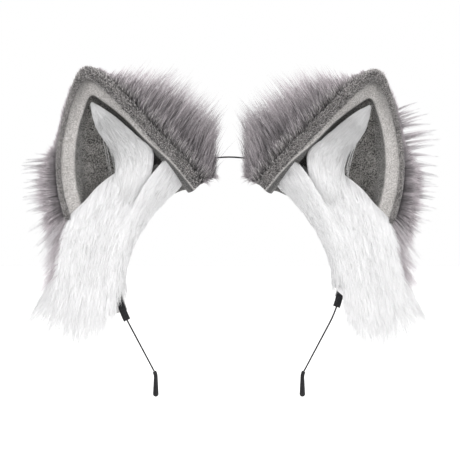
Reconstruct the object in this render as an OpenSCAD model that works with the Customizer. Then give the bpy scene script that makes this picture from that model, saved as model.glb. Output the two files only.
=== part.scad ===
// Animal ears headband: a thin sprung wire arch with two furred ears that slide on it.
// +X is to the viewer's right, +Y points backwards and +Z up. The origin is the centre of the arch.

/* [Wire band] */
// Radius of the arch, from its centre to the middle of the wire
hoop_r = 72.6; // [60:0.2:90]
// Thickness of the spring wire
wire_d = 1; // [0.8:0.1:1.6]
// How far the round arch runs down past the ears on each side, in degrees
arch_drop = 28; // [28:1:34]
// Length of the straight leg below the arch
leg_len = 34.6; // [20:0.2:60]
// Radius of the bend at the top of each end cap
toe_bend_r = 8; // [5:0.5:14]
// Length of the straight wire below that bend
toe_len = 10; // [6:0.5:16]

/* [End caps] */
// Thickness of the cap where it starts
cap_top_d = 2.6; // [2.4:0.1:4]
// Thickness of the cap at its bulb
cap_bulb_d = 3.7; // [3:0.1:6]
// Rubber below the end of the wire, down to the middle of the bulb
cap_extra = 0.6; // [0.3:0.1:3]

/* [Ear shell] */
// Width of the rim, from the inner corner to its widest place
ear_w = 89; // [75:1:110]
// Height of the rim, from its outer foot to the tip
ear_h = 93.7; // [70:1:115]
// How far the cup reaches back from its rim, at the base
ear_depth = 34; // [26:1:42]
// How far the inner corner of the rim stands in front of the arch
rim_forward = 22; // [18:1:27]
// Diameter of the soft roll along the rim
roll_d = 5.2; // [4:0.2:7]
// Diameter of the shaping wire inside the roll
rim_wire_d = 1.2; // [0.8:0.1:1.6]
// Thickness of the foam core
core_t = 2.5; // [1.5:0.1:3.5]
// Thickness of the plush lining
lining_t = 1.6; // [1:0.1:2.5]
// Depth of the fur on the back, laid as it hangs
pile_t = 14; // [8:0.5:14]
// Depth of that fur along its edges
pile_edge_t = 1.8; // [1:0.1:3]

/* [Inner fur] */
// Width of the white tuft inside the ear
tuft_w = 28; // [18:1:30]
// Thickness of the tuft
tuft_t = 5; // [3:0.5:6]
// How far the temple fur reaches inside the arch
temple_in = 10; // [6:0.5:14]
// How far the temple fur reaches outside the arch
temple_out = 38; // [20:1:45]
// How far the temple fur stands in front of the arch
temple_t = 9; // [6:0.5:10]

/* [Fixings] */
// Height of the ribbon sleeve, across the wire
sleeve_h = 4.6; // [4:0.1:6]
// Thickness of the ribbon sleeve, front to back
sleeve_t = 2.6; // [2.4:0.1:4]
// How far the felt strip reaches inside the wire
felt_in = 2.6; // [2:0.1:5]
// How far the felt strip reaches outside the wire
felt_out = 10; // [7:0.5:14]
// Thickness of the felt
felt_t = 1.5; // [1:0.1:2.5]
// Thickness of the sewing thread
thread_d = 0.7; // [0.5:0.1:1]

/* [Placing] */
// How far below the horizontal the left sleeve ends, in degrees
left_mouth = 26; // [14:0.5:26]
// How far below the horizontal the right sleeve ends, in degrees
right_mouth = 17.5; // [14:0.5:26]
// How far the right ear sits down the arch from the left one's mirror image, in degrees
right_turn = 1.2; // [0:0.1:2]

/* [Clearances] */
// Running clearance between the wire and the sleeve, all round
run_gap = 0.25; // [0.15:0.05:0.5]
// Gap between layers that are sewn together
layer_gap = 0.2; // [0.1:0.05:0.3]
// Glue line between the wire and its caps
glue_gap = 0.05; // [0.02:0.01:0.1]

/* [Hidden] */
$fn = 64;

wire_r = wire_d / 2;
roll_r = roll_d / 2;
cap_bore_r = wire_r + glue_gap;
sleeve_bore_r = wire_r + run_gap;
wall_hole_r = wire_r + 1;

// The ear is placed by the point of the arch that it stands over, 45 degrees up.
seat = [hoop_r * cos(45), hoop_r * sin(45)];
ear_in = seat[0] - 0.367 * ear_w;
ear_foot = seat[1] - 0.198 * ear_h;

// Middle of the rim roll from the outer foot over the tip to the inner corner:
// share of the width from the corner, share of the forward reach, share of the height.
rim_shape = [
  [0.94, 0.18, 0], [0.99, 0.36, 0.21], [1, 0.41, 0.43], [0.96, 0.36, 0.665], [0.9, 0.23, 0.868],
  [0.82, 0.09, 1],
  [0.695, 0.23, 0.945], [0.51, 0.55, 0.772], [0.328, 0.82, 0.583], [0.145, 1, 0.4], [0, 1, 0.227]
];

// Shape of the cup
tip_depth = 3;       // depth of the cup at its tip
flare_out = 0.08;    // how far the cup swells past its outer rim, as a share of the rim's span
flare_in = 0.17;     // and past its inner rim
base_dip = 16;       // how far its outer half hangs below the line between the rim's ends
base_rise = 7;       // how far its inner wall stays above that line
layers_top = 0.9;    // where lining and core stop, as a share of the way to the tip
fur_top = 0.965;     // where the back fur stops
cells_u = 18;        // facets round the cup
cells_v = 12;        // facets from base to tip
tube_rings = 42;     // rings along the rim roll
tube_sides = 10;     // sides of the rim roll

// How far from the middle plane the inner wall of the cup stands at a distance outside the wire
function wall_x(out) = max([
  for (v = [0:0.02:0.5], u = [0.6:0.01:0.98])
    let (p = cup(u, v)) if (abs(p[1]) < 3.5 && abs(norm([p[0], p[2]]) - hoop_r - out) < 3) p[0]
]);
// Room for the core and the lining between that wall and the pieces sewn inside
wall_room = core_t + lining_t + 3;

// Angles along the arch, from +X upwards
sleeve_top = acos((wall_x(0) + wall_room) / hoop_r);
felt_top = min(sleeve_top - 1, acos((wall_x(felt_out) + wall_room) / (hoop_r + felt_out)));
temple_top = sleeve_top - 2;
temple_low = -arch_drop;
mouth_show = 6;      // the part of the sleeve that shows below the fur, on its inner side
felt_lift = 5;       // from the sleeve's mouth up to the felt
stitch_step = 7;
stitch_len = 3;
stitch_inset = 0.5;

// ---------- curves ----------

function bend(a, b, c, d, t) =
  0.5 * (2 * b + (c - a) * t + (2 * a - 5 * b + 4 * c - d) * t * t + (3 * b - a - 3 * c + d) * t * t * t);

// A smooth curve through a list of values, with t from 0 to 1
function along(list, t) =
  let (last = len(list) - 1, i = min(floor(t * last), last - 1), f = t * last - i)
  bend(list[max(i - 1, 0)], list[i], list[i + 1], list[min(i + 2, last)], f);

function unit(a) = a / norm(a);
function ramp(x, low, high) = let (t = max(0, min(1, (x - low) / (high - low)))) t * t * (3 - 2 * t);

function rim(t) =
  let (s = along(rim_shape, t)) [ear_in + s[0] * ear_w, -s[1] * rim_forward, ear_foot + s[2] * ear_h];

// ---------- the cup ----------

// u runs round the cup from the outer rim (0) by the back to the inner rim (1), v from base to tip.
function cup(u, v) =
  let (
    low = rim(v / 2), high = rim(1 - v / 2), span = high - low,
    depth = tip_depth + (ear_depth - tip_depth) * pow(1 - v, 0.8),
    swell = -(u < 0.5 ? flare_out : flare_in) * sin(360 * u),
    share = (1 - cos(180 * u)) / 2 + swell,
    hang = base_dip * (1 - ramp(share, 0.25, 0.62)) - base_rise * ramp(share, 0.5, 0.9),
    dip = hang * sin(180 * u) * pow(1 - v, 2)
  )
  low + span * share + [0, depth * sin(180 * u), -dip];

function cup_out(u, v) =
  let (
    e = 0.01,
    du = cup(min(u + e, 1), v) - cup(max(u - e, 0), v),
    dv = cup(u, min(v + e, 1)) - cup(u, max(v - e, 0))
  )
  unit(cross(du, dv));

// The layers stop a little short of the rim roll on both sides.
roll_room = 0.5;
function rim_margin(u, v) =
  (roll_r + roll_room) / (norm(cup(u == 0 ? 0.02 : 0.98, v) - cup(u, v)) / 0.02);
function grid_u(i, v) =
  let (a = rim_margin(0, v), b = rim_margin(1, v)) a + (1 - a - b) * i / cells_u;

// Grid of points at a height above the cup's surface, from the base up to the share top
function layer(top, height) = [
  for (j = [0:cells_v]) [
    for (i = [0:cells_u])
      let (v = top * j / cells_v, u = grid_u(i, v)) cup(u, v) + cup_out(u, v) * height
  ]
];

// Depth of the back fur: full on the back, thin at the rim and where the two ears face each other
function pile(u, v) =
  pile_edge_t + (pile_t - pile_edge_t) * pow(sin(180 * u), 0.6) * (1 - 0.85 * ramp(u, 0.5, 0.75) * pow(1 - v, 1.5))
  * (1 - 0.5 * ramp(v, 0.5, 1));

function fur_tips(low) = [
  for (j = [0:cells_v]) [
    for (i = [0:cells_u])
      let (v = fur_top * j / cells_v, u = grid_u(i, v)) cup(u, v) + cup_out(u, v) * (low + pile(u, v))
  ]
];

// Heights of the layers' faces above the cup's surface; the middle of the stack lies on the roll.
core_low = -core_t / 2 - 0.5;
core_high = core_low + core_t;
lining_high = core_low - layer_gap;
lining_low = lining_high - lining_t;
fur_low = core_high + layer_gap;

// ---------- solids from grids and paths ----------

// A closed sheet between two grids of the same size
module sheet_between(inner, outer) {
  rows = len(inner);
  cols = len(inner[0]);
  n = rows * cols;
  points = concat([for (row = inner) each row], [for (row = outer) each row]);
  function at(j, i, k) = k * n + j * cols + i;
  skins = [
    for (j = [0:rows - 2], i = [0:cols - 2])
      each [
        [at(j, i, 0), at(j, i + 1, 0), at(j + 1, i + 1, 0)], [at(j, i, 0), at(j + 1, i + 1, 0), at(j + 1, i, 0)],
        [at(j + 1, i + 1, 1), at(j, i + 1, 1), at(j, i, 1)], [at(j + 1, i, 1), at(j + 1, i + 1, 1), at(j, i, 1)]
      ]
  ];
  ends = [
    for (i = [0:cols - 2])
      each [
        [at(0, i, 0), at(0, i, 1), at(0, i + 1, 1)], [at(0, i, 0), at(0, i + 1, 1), at(0, i + 1, 0)],
        [at(rows - 1, i, 0), at(rows - 1, i + 1, 1), at(rows - 1, i, 1)],
        [at(rows - 1, i, 0), at(rows - 1, i + 1, 0), at(rows - 1, i + 1, 1)]
      ]
  ];
  sides = [
    for (j = [0:rows - 2])
      each [
        [at(j, 0, 0), at(j + 1, 0, 1), at(j, 0, 1)], [at(j, 0, 0), at(j + 1, 0, 0), at(j + 1, 0, 1)],
        [at(j, cols - 1, 0), at(j, cols - 1, 1), at(j + 1, cols - 1, 1)],
        [at(j, cols - 1, 0), at(j + 1, cols - 1, 1), at(j + 1, cols - 1, 0)]
      ]
  ];
  polyhedron(points, concat(skins, ends, sides));
}

// One ring of points round a place on the rim
function rim_ring(t, r, sides) =
  let (
    e = 0.004,
    go = unit(rim(min(t + e, 1)) - rim(max(t - e, 0))),
    back = unit([0, 1, 0] - go * go[1]),
    across = cross(go, back)
  )
  [for (k = [0:sides - 1]) rim(t) + r * (cos(360 * k / sides) * across + sin(360 * k / sides) * back)];

// A closed solid through a list of rings
module rings_solid(rings) {
  sides = len(rings[0]);
  last = len(rings) - 1;
  points = [for (ring = rings) each ring];
  walls = [
    for (j = [0:last - 1], k = [0:sides - 1])
      let (a = j * sides + k, b = j * sides + (k + 1) % sides)
      each [[a, b, b + sides], [a, b + sides, a + sides]]
  ];
  caps = [[for (k = [sides - 1:-1:0]) k], [for (k = [0:sides - 1]) last * sides + k]];
  polyhedron(points, concat(walls, caps));
}

// A hollow tube along the rim
module rim_tube(r_out, r_in, sides, rings) {
  n = (rings + 1) * sides;
  points = concat(
    [for (j = [0:rings]) each rim_ring(j / rings, r_out, sides)],
    [for (j = [0:rings]) each rim_ring(j / rings, r_in, sides)]
  );
  walls = [
    for (j = [0:rings - 1], k = [0:sides - 1])
      let (a = j * sides + k, b = j * sides + (k + 1) % sides)
      each [
        [a, b, b + sides], [a, b + sides, a + sides],
        [n + b, n + a, n + b + sides], [n + b + sides, n + a, n + a + sides]
      ]
  ];
  ends = [
    for (k = [0:sides - 1])
      let (a = k, b = (k + 1) % sides, c = rings * sides + k, d = rings * sides + (k + 1) % sides)
      each [[b, a, n + b], [n + b, a, n + a], [c, d, n + c], [n + c, d, n + d]]
  ];
  polyhedron(points, concat(walls, ends));
}

// A flat outline swept along the arch between two angles from +X upwards; its x is the distance
// out from the wire's middle.
module along_arch(from, to) {
  rotate([90, 0, 0])
    rotate([0, 0, from])
      rotate_extrude(angle = to - from)
        translate([hoop_r, 0])
          children();
}

// ---------- the wire and its caps, drawn for the +X side ----------

leg_top = hoop_r * [cos(arch_drop), -sin(arch_drop)];
leg_end = leg_top - leg_len * [sin(arch_drop), cos(arch_drop)];
toe_x = leg_end[0] - toe_bend_r * (1 - cos(arch_drop));
toe_z = leg_end[1] - toe_bend_r * sin(arch_drop);

// A hair's breadth of extra radius where two lengths of wire meet, so that they join as one
weld = 0.02;

module leg_and_toe(r) {
  translate([leg_top[0], 0, leg_top[1]]) {
    rotate([0, 180 + arch_drop, 0]) cylinder(r = r, h = leg_len);
    sphere(r + weld);
  }
  translate([leg_end[0], 0, leg_end[1]]) sphere(r + weld);
  toe(r, toe_len);
}

module toe(r, len) {
  toe_bend(r);
  translate([toe_x, 0, toe_z - len]) cylinder(r = r, h = len);
  translate([toe_x, 0, toe_z]) sphere(r + weld);
}

// The bend from the leg's slant to straight down; its centre lies outside the leg.
module toe_bend(r) {
  translate([toe_x + toe_bend_r, 0, toe_z])
    rotate([90, 0, 0])
      rotate([0, 0, 180 - arch_drop])
        rotate_extrude(angle = arch_drop)
          translate([toe_bend_r, 0])
            circle(r);
}

module headband_wire() {
  color("#1c1c1e") {
    along_arch(-arch_drop, 180 + arch_drop) circle(wire_r);
    leg_and_toe(wire_r);
    mirror([1, 0, 0]) leg_and_toe(wire_r);
  }
}

module end_cap() {
  bulb_z = toe_z - toe_len - cap_extra;
  color("#0c0c0d")
    difference() {
      union() {
        toe_bend(cap_top_d / 2);
        translate([toe_x, 0, toe_z]) sphere(cap_top_d / 2 + weld);
        translate([toe_x, 0, bulb_z]) cylinder(r1 = cap_bulb_d / 2, r2 = cap_top_d / 2, h = toe_z - bulb_z);
        translate([toe_x, 0, bulb_z]) sphere(cap_bulb_d / 2 + weld);
      }
      toe(cap_bore_r, toe_len + glue_gap);
      translate([leg_end[0], 0, leg_end[1]]) sphere(cap_bore_r + weld);
    }
}

// ---------- the ear, drawn for the +X side ----------

// Outline of the flat ribbon tube; clear makes it larger all round
module ribbon_outline(clear) {
  r = sleeve_t / 2 + clear;
  half = sleeve_h / 2 - sleeve_t / 2;
  square([2 * half, 2 * r], center = true);
  for (side = [-1, 1]) translate([side * half, 0]) circle(r);
}

module wire_sleeve(mouth) {
  color("#141416")
    along_arch(-mouth, sleeve_top)
      difference() {
        ribbon_outline(0);
        circle(sleeve_bore_r);
      }
}

felt_y = sleeve_t / 2 + layer_gap;

module felt_strip(mouth) {
  color("#b9b6b6")
    difference() {
      along_arch(felt_lift - mouth, felt_top)
        translate([-felt_in, -felt_y - felt_t])
          square([felt_in + felt_out, felt_t]);
      felt_stitches(mouth);
    }
}

// Short thread bars along both edges of the felt, half sunk in its back
module felt_stitches(mouth) {
  color("#8d8a8b")
    for (a = [felt_lift + 2 - mouth:stitch_step:felt_top - 2], x = [stitch_inset - felt_in, felt_out - stitch_inset - stitch_len])
      rotate([0, -a, 0])
        translate([hoop_r + x + stitch_len / 2, felt_y + felt_t, 0])
          rotate([0, 90, 0])
            cylinder(d = thread_d, h = stitch_len, center = true);
}

// The way that the wire takes through the inner wall of the cup
module wire_way() {
  along_arch(sleeve_top - 1, 90) circle(wall_hole_r);
}

module ear_core() {
  color("#d8d4cc")
    difference() {
      sheet_between(layer(layers_top, core_low), layer(layers_top, core_high));
      wire_way();
    }
}

module ear_lining() {
  color("#6b6865")
    difference() {
      sheet_between(layer(layers_top, lining_low), layer(layers_top, lining_high));
      wire_way();
    }
}

module back_fur() {
  color("#878285")
    difference() {
      sheet_between(layer(fur_top, fur_low), fur_tips(fur_low));
      wire_way();
    }
}

module rim_roll() {
  color("#5d5a58") rim_tube(roll_r, rim_wire_d / 2 + layer_gap, tube_sides, tube_rings);
}

module rim_wire() {
  margin = 0.006;
  color("#9a9a9c")
    rings_solid([for (j = [0:tube_rings]) rim_ring(margin + (1 - 2 * margin) * j / tube_rings, rim_wire_d / 2, 8)]);
}

// Middle line of the tuft from under the tip down to the temple fur, in the ear's own shares
tuft_line = [[0.77, 0.3, 0.8], [0.674, 0.4, 0.675], [0.555, 0.45, 0.52], [0.45, 0.45, 0.4]];
tuft_widths = [0.12, 0.5, 0.78, 1];

function tuft_ring(t) =
  let (
    place = function (s) let (p = along(tuft_line, s)) [ear_in + p[0] * ear_w, -p[1] * rim_forward, ear_foot + p[2] * ear_h],
    e = 0.01,
    go = unit(place(min(t + e, 1)) - place(max(t - e, 0))),
    side = unit(cross([0, 1, 0], go)),
    half_w = along(tuft_widths, t) * tuft_w / 2,
    half_t = tuft_t / 2 * (0.35 + 0.65 * sin(180 * min(0.5, t + 0.08)))
  )
  [for (k = [0:9]) place(t) + cos(36 * k) * half_w * side - sin(36 * k) * half_t * [0, 1, 0]];

module inner_tuft() {
  color("#dcdbdc") rings_solid([for (j = [0:8]) tuft_ring(j / 8)]);
}

// Reach of the temple fur in and out from the arch, from its low end to its high end. Inside the
// ear it stays clear of the cup's outer wall.
outer_room = 10;
foot_reach = norm([rim(0)[0], rim(0)[2]]) - hoop_r - outer_room;
temple_ins = [0.15, 0.65, 0.85, 0.95, 1.3, 1.4] * temple_in;
temple_outs = [0.72 * temple_out, temple_out, 0.9 * temple_out, foot_reach, 10, 3];
temple_fronts = [0.35, 0.8, 1, 1, 0.9, 0.3] * temple_t;

// The low end slants, so that its inner side leaves the sleeve's mouth showing.
function temple_ring(t, mouth) =
  let (
    a = temple_low + (temple_top - temple_low) * t,
    lift = (mouth_show - mouth - temple_low) * pow(1 - t, 2),
    low = -along(temple_ins, t), high = along(temple_outs, t), front = along(temple_fronts, t),
    mid = (low + high) / 2, half = (high - low) / 2,
    back_y = felt_y - layer_gap
  )
  [
    for (k = [8:-1:0])
      let (c = cos(22.5 * k), b = a + lift * (1 + c) / 2)
      (hoop_r + mid - half * c) * [cos(b), 0, sin(b)] - [0, front * pow(sin(22.5 * k), 0.6) - back_y, 0]
  ];

module temple_fur(mouth) {
  color("#eeedee")
    difference() {
      rings_solid([for (j = [0:14]) temple_ring(j / 14, mouth)]);
      along_arch(temple_low - 10, temple_top + 10) ribbon_outline(layer_gap);
    }
}

// ---------- left and right ----------

module on_left() { mirror([1, 0, 0]) children(); }
module on_right() { rotate([0, right_turn, 0]) children(); }

module right_end_cap() { end_cap(); }
module left_end_cap() { on_left() end_cap(); }
module left_wire_sleeve() { on_left() wire_sleeve(left_mouth); }
module left_felt_strip() { on_left() felt_strip(left_mouth); }
module left_felt_stitches() { on_left() felt_stitches(left_mouth); }
module left_ear_core() { on_left() ear_core(); }
module left_rim_wire() { on_left() rim_wire(); }
module left_rim_roll() { on_left() rim_roll(); }
module left_ear_lining() { on_left() ear_lining(); }
module left_back_fur() { on_left() back_fur(); }
module left_inner_tuft() { on_left() inner_tuft(); }
module left_temple_fur() { on_left() temple_fur(left_mouth); }
module right_wire_sleeve() { on_right() wire_sleeve(right_mouth); }
module right_felt_strip() { on_right() felt_strip(right_mouth); }
module right_felt_stitches() { on_right() felt_stitches(right_mouth); }
module right_ear_core() { on_right() ear_core(); }
module right_rim_wire() { on_right() rim_wire(); }
module right_rim_roll() { on_right() rim_roll(); }
module right_ear_lining() { on_right() ear_lining(); }
module right_back_fur() { on_right() back_fur(); }
module right_inner_tuft() { on_right() inner_tuft(); }
module right_temple_fur() { on_right() temple_fur(right_mouth); }

headband_wire();
left_end_cap();
right_end_cap();
left_wire_sleeve();
left_felt_strip();
left_felt_stitches();
left_ear_core();
left_rim_wire();
left_rim_roll();
left_ear_lining();
left_back_fur();
left_inner_tuft();
left_temple_fur();
right_wire_sleeve();
right_felt_strip();
right_felt_stitches();
right_ear_core();
right_rim_wire();
right_rim_roll();
right_ear_lining();
right_back_fur();
right_inner_tuft();
right_temple_fur();
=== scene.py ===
"""Animal ears headband: a sprung wire band with two furred ears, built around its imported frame."""
import math

import bmesh
import bpy
import numpy as np
from mathutils.kdtree import KDTree
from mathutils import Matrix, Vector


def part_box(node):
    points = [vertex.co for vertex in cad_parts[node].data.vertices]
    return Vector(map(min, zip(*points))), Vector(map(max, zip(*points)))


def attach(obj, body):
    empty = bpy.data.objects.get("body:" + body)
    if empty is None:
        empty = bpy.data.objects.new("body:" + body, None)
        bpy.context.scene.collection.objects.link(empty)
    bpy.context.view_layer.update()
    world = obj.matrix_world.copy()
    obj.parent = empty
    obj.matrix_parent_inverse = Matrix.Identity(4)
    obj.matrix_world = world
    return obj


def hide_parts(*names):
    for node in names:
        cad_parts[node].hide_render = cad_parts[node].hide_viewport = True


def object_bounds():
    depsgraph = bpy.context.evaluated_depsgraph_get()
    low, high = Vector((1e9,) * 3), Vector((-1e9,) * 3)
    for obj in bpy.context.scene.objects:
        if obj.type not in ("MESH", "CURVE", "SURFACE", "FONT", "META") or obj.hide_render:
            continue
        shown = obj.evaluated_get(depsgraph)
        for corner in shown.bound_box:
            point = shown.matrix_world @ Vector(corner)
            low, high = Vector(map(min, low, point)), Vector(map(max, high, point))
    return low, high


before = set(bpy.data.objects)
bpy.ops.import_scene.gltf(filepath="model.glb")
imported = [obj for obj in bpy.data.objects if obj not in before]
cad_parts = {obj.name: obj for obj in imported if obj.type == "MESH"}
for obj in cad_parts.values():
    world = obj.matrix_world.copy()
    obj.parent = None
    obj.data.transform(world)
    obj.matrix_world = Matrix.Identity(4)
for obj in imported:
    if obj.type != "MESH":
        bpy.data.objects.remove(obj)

CAD_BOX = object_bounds()

bl_info = {
    "name": "Animal Ears Headband",
    "version": (1, 0, 0),
    "blender": (4, 5, 0),
    "location": "View3D > Sidebar > Ears",
    "description": "Makes a wire headband with furred, plush-lined animal ears",
    "category": "Add Mesh",
}

MM = 0.001

# ---- places taken from the frame

wire_low, wire_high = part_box("headband_wire")
roll_low, roll_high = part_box("left_rim_roll")

WIRE_D = wire_high.y - wire_low.y
ARCH_R = (wire_high.x - wire_low.x - WIRE_D) / 2
ROLL_R = 2.6 * MM
EAR_OUT = -roll_low.x - ROLL_R
EAR_IN = -roll_high.x + ROLL_R * math.cos(math.radians(45))
EAR_W = EAR_OUT - EAR_IN
EAR_TOP = roll_high.z - ROLL_R
EAR_FOOT = roll_low.z + 0.4 * MM
EAR_H = EAR_TOP - EAR_FOOT
RIM_FORWARD = -roll_low.y - ROLL_R

# Middle of the rim roll from the outer foot over the tip to the inner corner:
# share of the width, share of the forward reach, share of the height.
RIM_SHAPE = np.array([
    (0.94, 0.18, 0), (0.99, 0.36, 0.21), (1, 0.41, 0.43), (0.96, 0.36, 0.665), (0.9, 0.23, 0.868),
    (0.82, 0.09, 1),
    (0.695, 0.23, 0.945), (0.51, 0.55, 0.772), (0.328, 0.82, 0.583), (0.145, 1, 0.4), (0, 1, 0.227),
])
# Where the light border inside the roll ends and the dark well begins, at the same eleven places:
# share of the width, share of the height.
WELL_SHAPE = np.array([
    (0.813, -0.019), (0.88, 0.205), (0.894, 0.419), (0.869, 0.611), (0.83, 0.744),
    (0.783, 0.845),
    (0.689, 0.797), (0.526, 0.675), (0.378, 0.532), (0.187, 0.365), (0.037, 0.194),
])
# Radius of the roll at those places, as a share of the frame's roll
ROLL_SHAPE = np.array([0.7, 0.6, 0.56, 0.58, 0.72, 1.1, 1.3, 1.4, 1.35, 1.3, 1.2])
CUP_DEPTH, TIP_DEPTH = 34 * MM, 3 * MM
FLARE_OUT, FLARE_IN = 0.08, 0.17
BASE_DIP, BASE_RISE = 16 * MM, 7 * MM
SKIN_HEIGHT = 0.9 * MM
SIDE_REACH = 15.5 * MM  # how far hair may stand out sideways beyond the frame's box
LINING_HEIGHT = -3.4 * MM
LINING_THICK, PELT_THICK = 1.2 * MM, 0.5 * MM

UP = np.array((0.0, 0.0, 1.0))
BACK = np.array((0.0, 1.0, 0.0))
# Step, on a way from 0 to 1, that a direction is taken over; last place before the cup closes
STEP, NEAR_TIP = 0.01, 0.995


# ---- curves and the cup

def unit(a):
    return a / np.maximum(np.linalg.norm(a, axis=-1, keepdims=True), 1e-12)


def ramp(x, low, high):
    """0 below low, 1 above high, smooth between; low may be the larger."""
    t = np.clip((x - low) / (high - low), 0, 1)
    return t * t * (3 - 2 * t)


def smooth_way(knots, t, *column):
    """The place at t, from 0 to 1, on the smooth curve through knots; column picks among several curves."""
    last = len(knots) - 1
    x = t * last
    i = np.minimum(x.astype(int), last - 1)
    f = (x - i)[..., None]
    a, b, c, d = (knots[(np.clip(i + k, 0, last), *column)] for k in (-1, 0, 1, 2))
    square, cube = 2 * a - 5 * b + 4 * c - d, 3 * b - a - 3 * c + d
    return 0.5 * (2 * b + (c - a) * f + square * f ** 2 + cube * f ** 3)


def along(knots, t):
    """smooth_way through places or plain numbers, with t held between 0 and 1."""
    knots = np.asarray(knots, float)
    p = smooth_way(knots.reshape(len(knots), -1), np.clip(np.asarray(t, float), 0, 1))
    return p[..., 0] if knots.ndim == 1 else p


def in_ear(across, forward, high):
    """A place from shares of the ear's width, forward reach and height."""
    return np.stack(np.broadcast_arrays(
        EAR_IN + across * EAR_W, -forward * RIM_FORWARD, EAR_FOOT + high * EAR_H), axis=-1)


def rim(t):
    s = along(RIM_SHAPE, t)
    return in_ear(s[..., 0], s[..., 1], s[..., 2])


def well(t):
    """The inner edge of the light border, a little behind the rim."""
    s, r = along(WELL_SHAPE, t), along(RIM_SHAPE, t)
    return in_ear(s[..., 0], r[..., 1], s[..., 1]) + BACK * 2.5 * MM


def cup(u, v):
    """The cup's surface: u goes round it from the outer rim by the back to the inner rim, v to the tip."""
    u, v = np.broadcast_arrays(np.asarray(u, float), np.asarray(v, float))
    low, high = rim(v / 2), rim(1 - v / 2)
    depth = TIP_DEPTH + (CUP_DEPTH - TIP_DEPTH) * np.maximum(1 - v, 0) ** 0.8
    swell = -np.where(u < 0.5, FLARE_OUT, FLARE_IN) * np.sin(2 * np.pi * u)
    share = (1 - np.cos(np.pi * u)) / 2 + swell
    hang = BASE_DIP * (1 - ramp(share, 0.25, 0.62)) - BASE_RISE * ramp(share, 0.5, 0.9)
    dip = hang * np.sin(np.pi * u) * (1 - v) ** 2
    p = low + (high - low) * share[..., None]
    p[..., 1] += depth * np.sin(np.pi * u)
    p[..., 2] -= dip
    return p


def cup_out(u, v):
    """The unit direction out of the cup."""
    du = cup(np.minimum(u + STEP, 1), v) - cup(np.maximum(u - STEP, 0), v)
    dv = cup(u, np.minimum(v + STEP, NEAR_TIP)) - cup(u, np.maximum(v - STEP, 0))
    return unit(np.cross(du, dv))


def on_skin(u, v):
    """Places on the cup's back, and the direction out of it there."""
    out = cup_out(u, v)
    return cup(u, v) + out * SKIN_HEIGHT, out


def spoke(t, e):
    """u and v of a place on the way from the rim at t (e = 0) to the middle of the cup's back (e = 1)."""
    t, e = np.broadcast_arrays(np.asarray(t, float), np.asarray(e, float))
    start = 1 - np.abs(2 * t - 1)
    end = 0.86 * start ** 1.05
    v = start + (end - start) * e
    x = np.sign(t - 0.5) * 0.5 * (1 - start) * (1 - e)
    return 0.5 + x / np.maximum(1 - v, 1e-4), v


class Side:
    """One of the two ears. Shapes are worked out for +X and put in place on their side."""

    def __init__(self, name, turn):
        self.name = name
        self.body = name + "_ear"
        self.flip = name == "left"
        self.turn = math.radians(turn)

    def put(self, p):
        p = np.array(p, float)
        if self.flip:
            p[..., 0] *= -1
            return p
        c, s = math.cos(self.turn), math.sin(self.turn)
        x, z = p[..., 0].copy(), p[..., 2].copy()
        p[..., 0], p[..., 2] = c * x + s * z, c * z - s * x
        return p


def sides(seed=0):
    """The two ears, each with random numbers of its own."""
    pair = Side("left", 0.0), Side("right", bpy.context.scene.ears_size.right_turn)
    for k, side in enumerate(pair):
        yield side, np.random.default_rng(seed + k)


def direction(path, t, step):
    """The unit direction along a path."""
    return unit(path(np.minimum(t + step, 1)) - path(np.maximum(t - step, 0)))


def path_axes(path, t, step=STEP):
    """The unit directions along a path, back from it and across it."""
    go = direction(path, t, step)
    back = unit(BACK - go * (go @ BACK)[:, None])
    return go, back, np.cross(go, back)


# ---- mesh helpers

def mesh_of(bm, name):
    mesh = bpy.data.meshes.new(name)
    bm.to_mesh(mesh)
    bm.free()
    return mesh


def place_piece(mesh, side, label, finish, node=None):
    """Makes a mesh a piece of one ear, that rides on it and may stand for one of its CAD nodes."""
    mesh.polygons.foreach_set("use_smooth", np.full(len(mesh.polygons), True))
    mesh.materials.clear()
    mesh.materials.append(material_for(finish))
    piece = bpy.data.objects.new(f"{side.name}_{label}", mesh)
    bpy.context.scene.collection.objects.link(piece)
    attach(piece, side.body)
    if node:
        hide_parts(f"{side.name}_{node}")
    return piece


def finish_piece(bm, side, label, finish, node):
    """place_piece for a bmesh, which is used up."""
    return place_piece(mesh_of(bm, f"{side.name}_{label}"), side, label, finish, node)


def cloth_grid(across, down, place, wrap=False, facing=None):
    """A grid bent into a surface; place turns two arrays from 0 to 1 into points. wrap joins the first
    and last columns into a tube, with its ends filled. facing is a direction that the open grid looks in."""
    bm = bmesh.new()
    bmesh.ops.create_grid(bm, x_segments=across, y_segments=down, size=0.5)
    st = np.array([v.co[:2] for v in bm.verts]) + 0.5
    points = place(st[:, 0], st[:, 1])
    for vert, p in zip(bm.verts, points):
        vert.co = p
    if wrap:
        bmesh.ops.remove_doubles(bm, verts=bm.verts, dist=1e-6)
        rims = [e for e in bm.edges if e.is_boundary]
        bmesh.ops.holes_fill(bm, edges=rims, sides=0)
        bmesh.ops.triangulate(bm, faces=[f for f in bm.faces if len(f.verts) > 4])
        bmesh.ops.recalc_face_normals(bm, faces=bm.faces)
    elif facing is not None:
        bm.normal_update()
        total = sum((np.array(f.normal) * f.calc_area() for f in bm.faces), np.zeros(3))
        if total @ np.array(facing) < 0:
            bmesh.ops.reverse_faces(bm, faces=bm.faces)
    return bm, st


def thicken(piece, depth):
    """Gives an open sheet its thickness, behind the side that shows or, below 0, before it."""
    solid = piece.modifiers.new("Thickness", "SOLIDIFY")
    solid.thickness = depth
    solid.offset = -1


def tube_place(path, radius):
    """place for cloth_grid: a tube round a path, with a radius that may change along it."""
    def place(s, t):
        _, back, across = path_axes(path, t, 0.4 * STEP)
        a = 2 * np.pi * s[:, None]
        return path(t) + radius(t)[:, None] * (np.cos(a) * across + np.sin(a) * back)
    return place


# ---- hair

TONES = 16
UV_MAP = "OFBake"
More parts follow.
